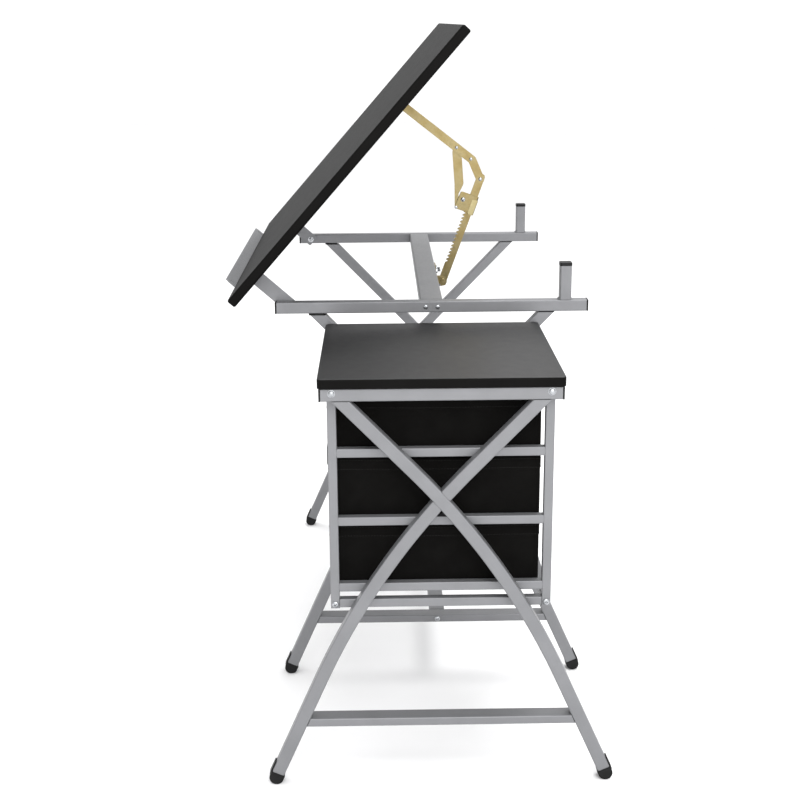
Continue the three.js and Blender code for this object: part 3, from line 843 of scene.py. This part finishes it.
def cloth_offset(seed, place, t, height, length):
    """How far the cloth stands in from the bin's flat side, at a place and a part of the height:
    a slack side, one upright fold in its middle with a crease beside it, and wrinkles."""
    middle = math.sin(math.pi * t) ** 0.8
    up = math.sin(math.pi * min(1, max(0, height))) ** 0.7
    sag = SAG * middle * up
    from_fold = (t - 0.5) * length
    fold = MIDDLE_FOLD * math.exp(-(from_fold / (5 * MM)) ** 2) * (0.4 + 0.6 * up)
    crease = FOLD_CREASE * math.exp(-((from_fold - 6 * MM) / (4 * MM)) ** 2)
    at = Vector((place.x * 9 + seed, place.y * 9, height * 1.1))
    wrinkle = WRINKLE * abs(noise.noise(at * 2.3)) + SMALL_WRINKLE * abs(noise.noise(at * 7.0))
    return sag + fold - crease + wrinkle * middle


def bin_cloth(level, seed, low, high, places, lengths):
    """The bin's skin: up the outside, over the hem, down the inside, and both sides of its floor."""
    tall = high.z - low.z
    hem_part = 1 - HEM / tall

    def ring(z_part, inset, dip=0.0, rise=0.0):
        """A ring of cloth at a part of the height, set in from the bin's side."""
        points = []
        for place, out, side, t in places:
            deep = cloth_offset(seed, place, t, z_part * 0.92, lengths[side])
            at = place - out * (deep + inset)
            z = low.z + tall * z_part - dip * math.sin(math.pi * t) ** 2 * HEM_DIP + rise
            points.append(Vector((at.x, at.y, z)))
        return points

    outside = [ring(0.0, 2.6 * MM), ring(0.012, 1.2 * MM)]
    outside += [ring(0.02 + (hem_part - 0.05) * i / 9, 0.7 * MM) for i in range(1, 9)]
    outside += [
        ring(hem_part - 0.02, 0.9 * MM, 0.5), ring(hem_part - 0.004, 0.95 * MM, 0.6),
        ring(hem_part + 0.004, 0.05 * MM, 0.6)]
    outside += [ring(hem_part + (1 - hem_part) * i / 4, 0.0, 0.6 + 0.1 * i) for i in range(1, 4)]
    rim = [
        ring(1.0, 0.35 * MM, 1.0, -0.9 * MM), ring(1.0, 1.2 * MM, 1.0, -0.1 * MM),
        ring(1.0, 2.0 * MM, 1.0, -0.1 * MM), ring(1.0, CLOTH_WALL, 1.0, -0.9 * MM)]
    inside = [ring(hem_part + 0.01, CLOTH_WALL, 0.6), ring(hem_part - 0.01, CLOTH_WALL - 0.7 * MM, 0.6)]
    inside += [
        ring(part * hem_part / 0.8, CLOTH_WALL - 0.6 * MM) for part in (0.7, 0.5, 0.3, 0.15, 0.07)]
    inside.append(ring(CLOTH_WALL / tall, CLOTH_WALL + 1.0 * MM))
    cloth = Build()
    made = cloth.loft(outside + rim + inside, capped=False)
    for edge, lift in ((made[0], 0), (made[-1], FLOOR_LIFT)):
        middle = Vector(((low.x + high.x) / 2, (low.y + high.y) / 2, cloth.points[edge[0]].z))
        previous = edge
        for shrink in (0.93, 0.75, 0.5, 0.25):
            points = []
            for index in edge:
                p = middle.lerp(cloth.points[index], shrink)
                p.z += lift * abs(noise.noise(Vector((p.x * 14 + seed, p.y * 14, 2.0))))
                points.append(p)
            inner = cloth.ring(points)
            cloth.skin(previous, inner)
            previous = inner
        cloth.faces.append(tuple(previous))
    made = cloth.piece(
        f"fabric_bin_{level}", FABRIC, (f"drawer_{level}",), sharp=60, even=False)
    rounder = made.modifiers.new("soft_cloth", "SUBSURF")
    rounder.levels = 1
    rounder.render_levels = 1


def hem_stitches(level, seed, low, high, places, lengths):
    """Two rows of stitches round the hem, on the outside."""
    tall = high.z - low.z
    stitches = Build()
    for up, dip in (((1 - HEM / tall + 0.02) * tall, 0.6), (tall - 4 * MM, 0.9)):
        line = []
        for place, out, side, t in places:
            deep = cloth_offset(seed, place, t, up / tall * 0.92, lengths[side])
            at = place - out * (deep - 0.1 * MM)
            z = low.z + up - dip * math.sin(math.pi * t) ** 2 * HEM_DIP
            line.append((Vector((at.x, at.y, z)), Vector((out.x, out.y, 0))))
        for (a, out), (b, _) in zip(line, line[1:] + line[:1]):
            stitch_count = max(1, round((b - a).length / STITCH))
            for k in range(stitch_count):
                start = a.lerp(b, (k + 0.15) / stitch_count)
                end = a.lerp(b, (k + 0.85) / stitch_count)
                rings = []
                for part, size in ((0.0, 0.35), (0.3, 1.0), (0.7, 1.0), (1.0, 0.35)):
                    middle = start.lerp(end, part)
                    thick = STITCH_THICK * size
                    rings.append([
                        middle + out * thick * math.cos(c * math.pi / 3)
                        + Z * thick * math.sin(c * math.pi / 3) for c in range(6)])
                stitches.loft(rings)
    stitches.piece(
        f"hem_stitches_{level}", THREAD, body=f"{level}_drawer", sharp=80, even=False)


def pull_strap(level, seed, slack, low, high):
    """A loop of webbing sewn to the front at both ends, standing off it in between."""
    x_middle = (low.x + high.x) / 2
    steps = 22
    rings = []
    for i in range(steps + 1):
        t = i / steps
        free = min(1.0, max(0.0, (0.5 - abs(t - 0.5) - 0.12) / 0.2))
        off = 1.2 * MM + slack * (free * free * (3 - 2 * free))
        sway = 0.4 * MM * math.sin(t * 5 + seed)
        z = high.z - 8 * MM - PULL_HEIGHT * t
        ring = section(PULL_WIDTH - 1.5 * MM * free, PULL_THICK, 0.7 * MM, 2)
        rings.append([Vector((x_middle + sway + a, low.y - off + 2.2 * MM + b, z)) for a, b in ring])
    strap = Build()
    strap.loft(rings)
    strap.piece(f"pull_strap_{level}", WEBBING, body=f"{level}_drawer", sharp=50)


for level, seed, slack in DRAWERS:
    low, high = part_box(f"drawer_{level}")
    low = low + Vector((0.4 * MM, PULL_ROOM, 0))
    high = high - Vector((0.4, 0.4, 0.3)) * MM
    places = outline(low, high, BIN_CORNER)
    lengths = (high.y - low.y, high.x - low.x, high.y - low.y, high.x - low.x)
    bin_cloth(level, seed, low, high, places, lengths)
    hem_stitches(level, seed, low, high, places, lengths)
    pull_strap(level, seed, slack, low, high)


# ---- Boards, their brackets and the ledge ----
BOARD_UNDER = 75.5 * MM  # from the board's pivot, square to the board
BOARD_THICK = 17 * MM
SIDE_TOP_EDGE = 1.4 * MM
BOARD_EDGE = 3.6 * MM
STRAP_HALF = 12.5 * MM
STRAP_BELOW = 8.5 * MM  # the strap's end below the pivot
STRAP_BEVEL = 2 * MM
STRAP_THICK = 2.5 * MM
FLANGE_REACH = 33.4 * MM
FLANGE_RIVET = 22 * MM  # from the strap's outer face
PIVOT = Vector((PIVOT_Y - MID_Y, PIVOT_Z))
BOARD = Plane(PIVOT, PIVOT + Vector((math.cos(TILT), math.sin(TILT))))
board_along = Vector((0, math.cos(TILT), math.sin(TILT)))
board_over = Vector((0, -math.sin(TILT), math.cos(TILT)))


def board(node, name, laminate, over, edge):
    """A laminated board with rounded edges, and a different finish on its edge band."""
    made = refined(node, name, laminate, edge, 5)
    made.data.materials.append(EDGE_BAND)
    for face in made.data.polygons:
        if abs(face.normal.dot(over)) < 0.5:
            face.material_index = 1


def board_strap(side, inward):
    """A strap square to the board, with a riveted flange under the board."""
    low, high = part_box(f"board_bracket_{side}")
    near = high.x if side == "right" else low.x
    half, bevel = STRAP_HALF, STRAP_BEVEL
    top = BOARD_UNDER - GAP
    strap = [
        (-half, bevel - STRAP_BELOW), (bevel - half, -STRAP_BELOW), (half - bevel, -STRAP_BELOW),
        (half, bevel - STRAP_BELOW), (half, top - 0.2 * MM), (-half, top - 0.2 * MM)]
    flange = [(-half, top - STRAP_THICK), (half, top - STRAP_THICK), (half, top), (-half, top)]
    bracket = Build()
    plate(bracket, BOARD, strap, *sorted((near, near + inward * STRAP_THICK)), 0.5 * MM)
    plate(bracket, BOARD, flange, *sorted((near, near + inward * FLANGE_REACH)), 0.3 * MM)
    for along in (-6 * MM, 6 * MM):
        head = BOARD.place(near + inward * FLANGE_RIVET, along, top - 2.4 * MM)
        turned(bracket, head, -board_over, dome(3.6 * MM, 2.2 * MM, 6, 0.3 * MM), 20)
    bracket.piece(f"board_strap_{side}", STEEL, (f"board_bracket_{side}",))


board("side_top", "side_table_board", LAMINATE, Z, SIDE_TOP_EDGE)
board("drawing_board", "tilting_board", DESK_LAMINATE, board_over, BOARD_EDGE)
refined("stay_board_bracket", "stay_board_plate", YELLOW_ZINC, 0.5 * MM)
board_strap("right", -1)
board_strap("left", 1)

# The pencil ledge: a slotted strip with round corners and a rolled upper edge.
LEDGE_HEIGHT = 36 * MM
LEDGE_RAISED = 20 * MM
LEDGE_THICK = 1.8 * MM
LEDGE_BACK = -50.5 * MM  # its rear face, along the board from the pivot
LEDGE_CORNER = 10 * MM
LEDGE_EASE = 0.3 * MM
LEDGE_ROLL = 1.7 * MM
SLOT_WIDTH = 6 * MM
SLOT_HEIGHT = LEDGE_HEIGHT - 15 * MM
SLOT_IN = 20 * MM  # from each end of the ledge
LEDGE_SCREW_OVER = 85 * MM  # square to the board, from the pivot

ledge_low, ledge_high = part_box("pencil_ledge")
ledge_top = BOARD_UNDER + BOARD_THICK + LEDGE_RAISED
ledge_level = ledge_top - LEDGE_HEIGHT / 2
ledge_x = (ledge_low.x + ledge_high.x) / 2
ledge_length = ledge_high.x - ledge_low.x
ledge_front = LEDGE_BACK - LEDGE_THICK
slot_places = (ledge_low.x + SLOT_IN, ledge_high.x - SLOT_IN)
rings = []
for along, inset in ((LEDGE_BACK, LEDGE_EASE), (LEDGE_BACK - LEDGE_EASE, 0),
                     (ledge_front + LEDGE_EASE, 0), (ledge_front, LEDGE_EASE)):
    ring = section(ledge_length - 2 * inset, LEDGE_HEIGHT - 2 * inset, LEDGE_CORNER - inset, 8)
    rings.append([BOARD.place(ledge_x + a, along, ledge_level + b) for a, b in ring])
strip = Build()
strip.loft(rings)
slots = []
for x in slot_places:
    ring = section(SLOT_WIDTH, SLOT_HEIGHT, 2.99 * MM, 8)
    hole = Build()
    hole.loft([
        [BOARD.place(x + a, along, ledge_level + b) for a, b in ring]
        for along in (LEDGE_BACK + 2 * MM, ledge_front - 2 * MM)])
    slots.append(hole)
ledge = Build()
ledge.stamp(*carved(strip, slots), Matrix.Identity(4))
rings = []
for x, size in ((ledge_low.x + 8.2 * MM, 0.3), (ledge_low.x + 9.4 * MM, 1.0),
                (ledge_high.x - 9.4 * MM, 1.0), (ledge_high.x - 8.2 * MM, 0.3)):
    ring = []
    for k in range(14):
        along = LEDGE_BACK - LEDGE_ROLL + LEDGE_ROLL * size * math.cos(k * math.pi / 7)
        over = ledge_top - LEDGE_ROLL + LEDGE_ROLL * size * math.sin(k * math.pi / 7)
        ring.append(BOARD.place(x, along, over))
    rings.append(ring)
ledge.loft(rings)
ledge.piece("pencil_ledge_strip", WELD, ("pencil_ledge",))


# ---- Ratchet stay ----
# Places are along a part and out to its left. Plain numbers are millimetres.
STAY_X = -165 * MM
BASE_Y, BASE_Z = 37, 668
BASE = Vector((BASE_Y * MM, BASE_Z * MM))
ELBOW = Vector((111 * MM, 870 * MM))
ARM_END = (374.2 * MM, 61.7 * MM)  # in the board's plane
CATCH_LOW = -70  # along the bar, from the elbow
CATCH_HIGH = -35
CATCH_PIVOT = (-68.1, 25.8)
CATCH_SCREW = (CATCH_HIGH - 14, 18)
LINK_ON_ARM = (76.9 * MM, -12.9 * MM)
KNEE_RIVET = (41 * MM, -15.9 * MM)
BAR_HALF = 8
TOOTH_PITCH = 7.3
TOOTH_COUNT = 15
TOOTH_FIRST = 34
TOOTH_ROOT = 4
CATCH_FACE = 3.9 * MM  # the catch's outer faces, from the stay's middle

bar_long = (ELBOW - BASE).length / MM
BAR = Plane(BASE, ELBOW)
ARM = Plane(ELBOW, BOARD.at(*ARM_END))
catch_pivot = ((bar_long + CATCH_PIVOT[0]) * MM, CATCH_PIVOT[1] * MM)
link_foot = BAR.at(*catch_pivot)
link_head = ARM.at(*LINK_ON_ARM)
LINK = Plane(link_foot, link_head)
link_long = (link_head - link_foot).length / MM

refined("stay_arm", "bent_arm", YELLOW_ZINC, 0.35 * MM)

# The bar: saw teeth down its left side, and round ends.
n = bar_long
half = BAR_HALF
teeth = []
for i in range(TOOTH_COUNT):
    y = TOOTH_FIRST + i * TOOTH_PITCH
    teeth.extend((
        (y, half - 0.1), (y + 1.6, half), (y + 5.2, TOOTH_ROOT + 0.3), (y + 6.1, TOOTH_ROOT),
        (y + TOOTH_PITCH - 0.2, TOOTH_ROOT + 0.3)))
shape = [
    (-6, -6), (-3, -half), (n + 6, -half), (n + 9.5, -6), (n + 11, -2), (n + 8, 3), (n + 5, half),
    (TOOTH_FIRST + TOOTH_COUNT * TOOTH_PITCH, half), *reversed(teeth), (TOOTH_FIRST - 2, half),
    (-3, half), (-6, 6), (-7.6, 3), (-7.6, -3)]
bar = Build()
plate(bar, BAR, scaled(shape), STAY_X - 2 * MM, STAY_X + 2 * MM, 0.3 * MM)
bar.piece("toothed_bar", YELLOW_ZINC, ("ratchet_bar",), sharp=25)

# The link: a plate that is wide in the middle and narrows to the catch's rivet.
n = link_long
link = Build()
plate(link, LINK, scaled((
    (-3.5, -2.2), (-1, -4.6), (26, -5), (33, -8.5), (44, -14), (48, -14.6), (n - 22, -11), (n - 2, -8),
    (n + 4, -6.6), (n + 7.4, -2.5), (n + 7.4, 2.5), (n + 4, 6.6), (n - 10, 8), (45, 3.2), (2, 2.6),
    (-2.2, 1.6))),
    STAY_X - 1.3 * MM, STAY_X + 1.3 * MM)
link.piece("link_plate", YELLOW_ZINC, ("stay_link",))

# The catch: two plates round the bar, a folded back edge, a pawl and a bright clip.
low, high = bar_long + CATCH_LOW, bar_long + CATCH_HIGH
pivot = bar_long + CATCH_PIVOT[0]
sides = scaled((
    (low, -9.6), (low + 2, -10), (high - 2, -10), (high, -9.6), (high, 24), (high - 2, 27),
    (low + 10, 28.4), (pivot + 3, 28.6), (pivot - 1.2, 27.6), (pivot - 3.2, 25),
    (pivot - 2.6, 22.4), (low - 0.5, 12)))
catch = Build()
plate(catch, BAR, sides, STAY_X + 2.3 * MM, STAY_X + CATCH_FACE)
plate(catch, BAR, sides, STAY_X - CATCH_FACE, STAY_X - 2.3 * MM)
plate(catch, BAR, scaled(((low, -10.2), (high, -10.2), (high, -8.5), (low, -8.5))),
      STAY_X - CATCH_FACE, STAY_X + CATCH_FACE)
plate(catch, BAR, scaled(((low + 12, 8.6), (low + 24, 8.6), (low + 22, 12), (low + 14, 12))),
      STAY_X - 3.1 * MM, STAY_X + 3.1 * MM)
catch.piece("sliding_catch", YELLOW_ZINC, ("ratchet_catch",))
clip = Build()
plate(clip, BAR, scaled((
    (low - 2, -11), (high - 8, -11), (high - 7, -10), (high - 7, 0.2), (high - 8, 1), (low - 1, 1),
    (low - 3, -1), (low - 3, -10))), STAY_X + CATCH_FACE, STAY_X + 4.8 * MM)
plate(clip, BAR, scaled(((low - 2, -11.2), (high - 8, -11.2), (high - 8, -10.2), (low - 2, -10.2))),
      STAY_X - 4.2 * MM, STAY_X + 4.8 * MM)
clip.piece("catch_clip", CLIP_ZINC, body="catch")

# The base bracket behind the crossbar: a plate, two small ears, and the bar's pin.
STAND = Plane(Vector((0, 0)), Vector((1, 0)))
BOLT_HEIGHTS = (690, 660)
ear = scaled((
    (21, BASE_Z - 14), (BASE_Y + 5, BASE_Z - 10), (BASE_Y + 8, BASE_Z - 5), (BASE_Y + 8.4, BASE_Z + 1),
    (BASE_Y + 6, BASE_Z + 6), (BASE_Y + 1, BASE_Z + 8.4), (21, BASE_Z + 9)))
bracket = Build()
plate(bracket, STAND, ear, STAY_X - 5 * MM, STAY_X - 2.4 * MM)
plate(bracket, STAND, ear, STAY_X + 2.4 * MM, STAY_X + 5 * MM)
plate(bracket, STAND, scaled(((20.3, 653), (22.8, 653), (22.8, 701), (20.3, 701))),
      STAY_X - 17 * MM, STAY_X + 17 * MM)
turned(bracket, STAND.place(STAY_X - 6.6 * MM, *BASE), X,
       scaled(((3.6, 0), (4.2, 0.6), (4.2, 1.2), (3, 1.4), (3, 11.8), (4.4, 11.9), (4.4, 12.7),
               (3.6, 13.2))))
bracket.piece("stay_base_plate", YELLOW_ZINC, ("stay_base_bracket",))

# The bracket's bolts: threaded ends standing out behind it.
bolt = Build()
for z in BOLT_HEIGHTS:
    for x in (-12 * MM, 12 * MM):
        start = Vector((STAY_X + x, MID_Y + 22.8 * MM, z * MM))
        turned(bolt, start, Y, scaled(((5.2, 0), (5.6, 0.4), (5.6, 3), (4.8, 3.6), (2, 3.6))), 6)
        thread = [(2.2, 3.5)]
        for i in range(7):
            thread += [(2.6, 3.8 + 0.8 * i), (2.1, 4.2 + 0.8 * i)]
        thread.append((1.5, 9.3))
        turned(bolt, start, Y, scaled(thread), 16)
bolt.piece("stay_base_bolts", BRIGHT_ZINC, body="stand", sharp=30)


def rivet(name, body, plane, spot, x, radius=3.2 * MM, height=1.5 * MM):
    """A domed rivet head on a plate's face at x."""
    made = Build()
    turned(made, plane.place(x - 0.2 * MM, *spot), X, dome(radius, height, 7, 0.3 * MM), 24)
    made.piece(name, BRIGHT_ZINC, body=body, sharp=50)


rivet("link_rivet", "arm", ARM, LINK_ON_ARM, STAY_X + 6.0 * MM)
rivet("knee_rivet", "arm", ARM, KNEE_RIVET, STAY_X + 6.0 * MM)
rivet("elbow_rivet", "arm", ARM, (0, 0), STAY_X + 4.8 * MM, 3.8 * MM, 2.2 * MM)
rivet("catch_rivet", "catch", BAR, catch_pivot, STAY_X + CATCH_FACE)


# ---- Screws, bolts and rivets ----
def cross_head(radius, height):
    """A pan head with a cross recess cut into it, as points and faces, on Z from 0."""
    whole = Build()
    turned(whole, (0, 0, 0), Z, dome(radius, height, 7, height * 0.25), 28)
    blades = []
    for turn in (0, math.pi / 2):
        blade = Build()
        rings = []
        for z, reach, thick in ((height * 0.3, radius * 0.2, radius * 0.1),
                                (height * 1.3, radius * 0.66, radius * 0.17)):
            c, s = math.cos(turn), math.sin(turn)
            rings.append([
                Vector((a * c - b * s, a * s + b * c, z))
                for a, b in ((reach, thick), (-reach, thick), (-reach, -thick), (reach, -thick))])
        blade.loft(rings)
        blades.append(blade)
    return carved(whole, blades)


def facing(place, outward, spin):
    """The matrix that puts a head's base at a place, facing outward and turned by a spin."""
    turn = Vector(outward).to_track_quat("Z", "Y").to_matrix().to_4x4()
    return Matrix.Translation(place) @ turn @ Matrix.Rotation(spin, 4, "Z")


def screws(name, body, places, outward, radius, height=2.8 * MM):
    """A row of cross-head screws, each turned a little differently."""
    made = Build()
    points, faces = cross_head(radius, height)
    ahead = Vector(outward).normalized()
    for i, place in enumerate(places):
        made.stamp(points, faces, facing(Vector(place) - ahead * 0.1 * MM, ahead, 0.5 + i))
    made.piece(name, BRIGHT_ZINC, body=body, sharp=40)


def washer(build, place, ahead, radius, hole, sides=24):
    """A thin washer with an eased rim, its radius and hole in millimetres."""
    profile = ((radius, 0), (radius, 0.6), (radius - 0.4, 0.9), (hole, 0.9))
    turned(build, place, ahead, scaled(profile), sides)


def stand_places(x, ys, z):
    """Places on the stand, from millimetres, with y from the X frames' middle."""
    return [Vector((x * MM, MID_Y + y * MM, z * MM)) for y in ys]


rail_bolts = Build()
for place in stand_places(611, (-163, 163), 645.5):
    place = place - X * 0.2 * MM
    washer(rail_bolts, place, X, 5.9, 2)
    turned(rail_bolts, place + X * 0.8 * MM, X, dome(5.0 * MM, 3.0 * MM, 8, 0.4 * MM), 28)
rail_bolts.piece("side_rail_bolts", BRIGHT_ZINC, body="stand", sharp=40)

screws("crossbar_screws_right", "stand", stand_places(230, (-10.5, 10.5), 695), X, 4.1 * MM, 2.6 * MM)
screws("crossbar_screws_left", "stand", stand_places(-560, (-10.5, 10.5), 695), -X, 4.1 * MM, 2.6 * MM)
screws("ladder_screws_right", "stand", stand_places(590.7, (-164, 164), 300.5), X, 5.4 * MM)
screws("stretcher_screw_middle", "stand", stand_places(230, (10,), 107), X, 5.2 * MM)
screws("stretcher_screw_left", "stand", stand_places(-560, (10,), 107), -X, 4.6 * MM)

# The bolts that the board turns on, each with a domed nut on a washer at its inner end.
for side, inward in (("right", -1), ("left", 1)):
    node = f"pivot_bolt_{side}"
    low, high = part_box(node)
    start = high.x if inward < 0 else low.x
    centre = Vector((start, (low.y + high.y) / 2, (low.z + high.z) / 2))
    ahead = X * inward
    bolt = Build()
    turned(bolt, centre, ahead, scaled(((3.4, 0), (4, 0.6), (4, 14))), 24)
    end = centre + ahead * 11.6 * MM
    washer(bolt, end, ahead, 6.4, 3, 28)
    turned(bolt, end + ahead * 0.8 * MM, ahead, dome(4.6 * MM, 3 * MM, 8, 0.4 * MM), 28)
    bolt.piece(f"pivot_bolt_nut_{side}", BRIGHT_ZINC, (node,), sharp=30)

catch_screw = BAR.place(STAY_X + CATCH_FACE, (bar_long + CATCH_SCREW[0]) * MM, CATCH_SCREW[1] * MM)
screws("catch_screw", "catch", [catch_screw], X, 4.6 * MM)

# Screws through the ledge's slots, into the board's front edge.
ledge_screws = [BOARD.place(x, LEDGE_BACK - 2 * MM, LEDGE_SCREW_OVER) for x in slot_places]
screws("ledge_screws", "board", ledge_screws, -board_along, 4.6 * MM, 2.4 * MM)
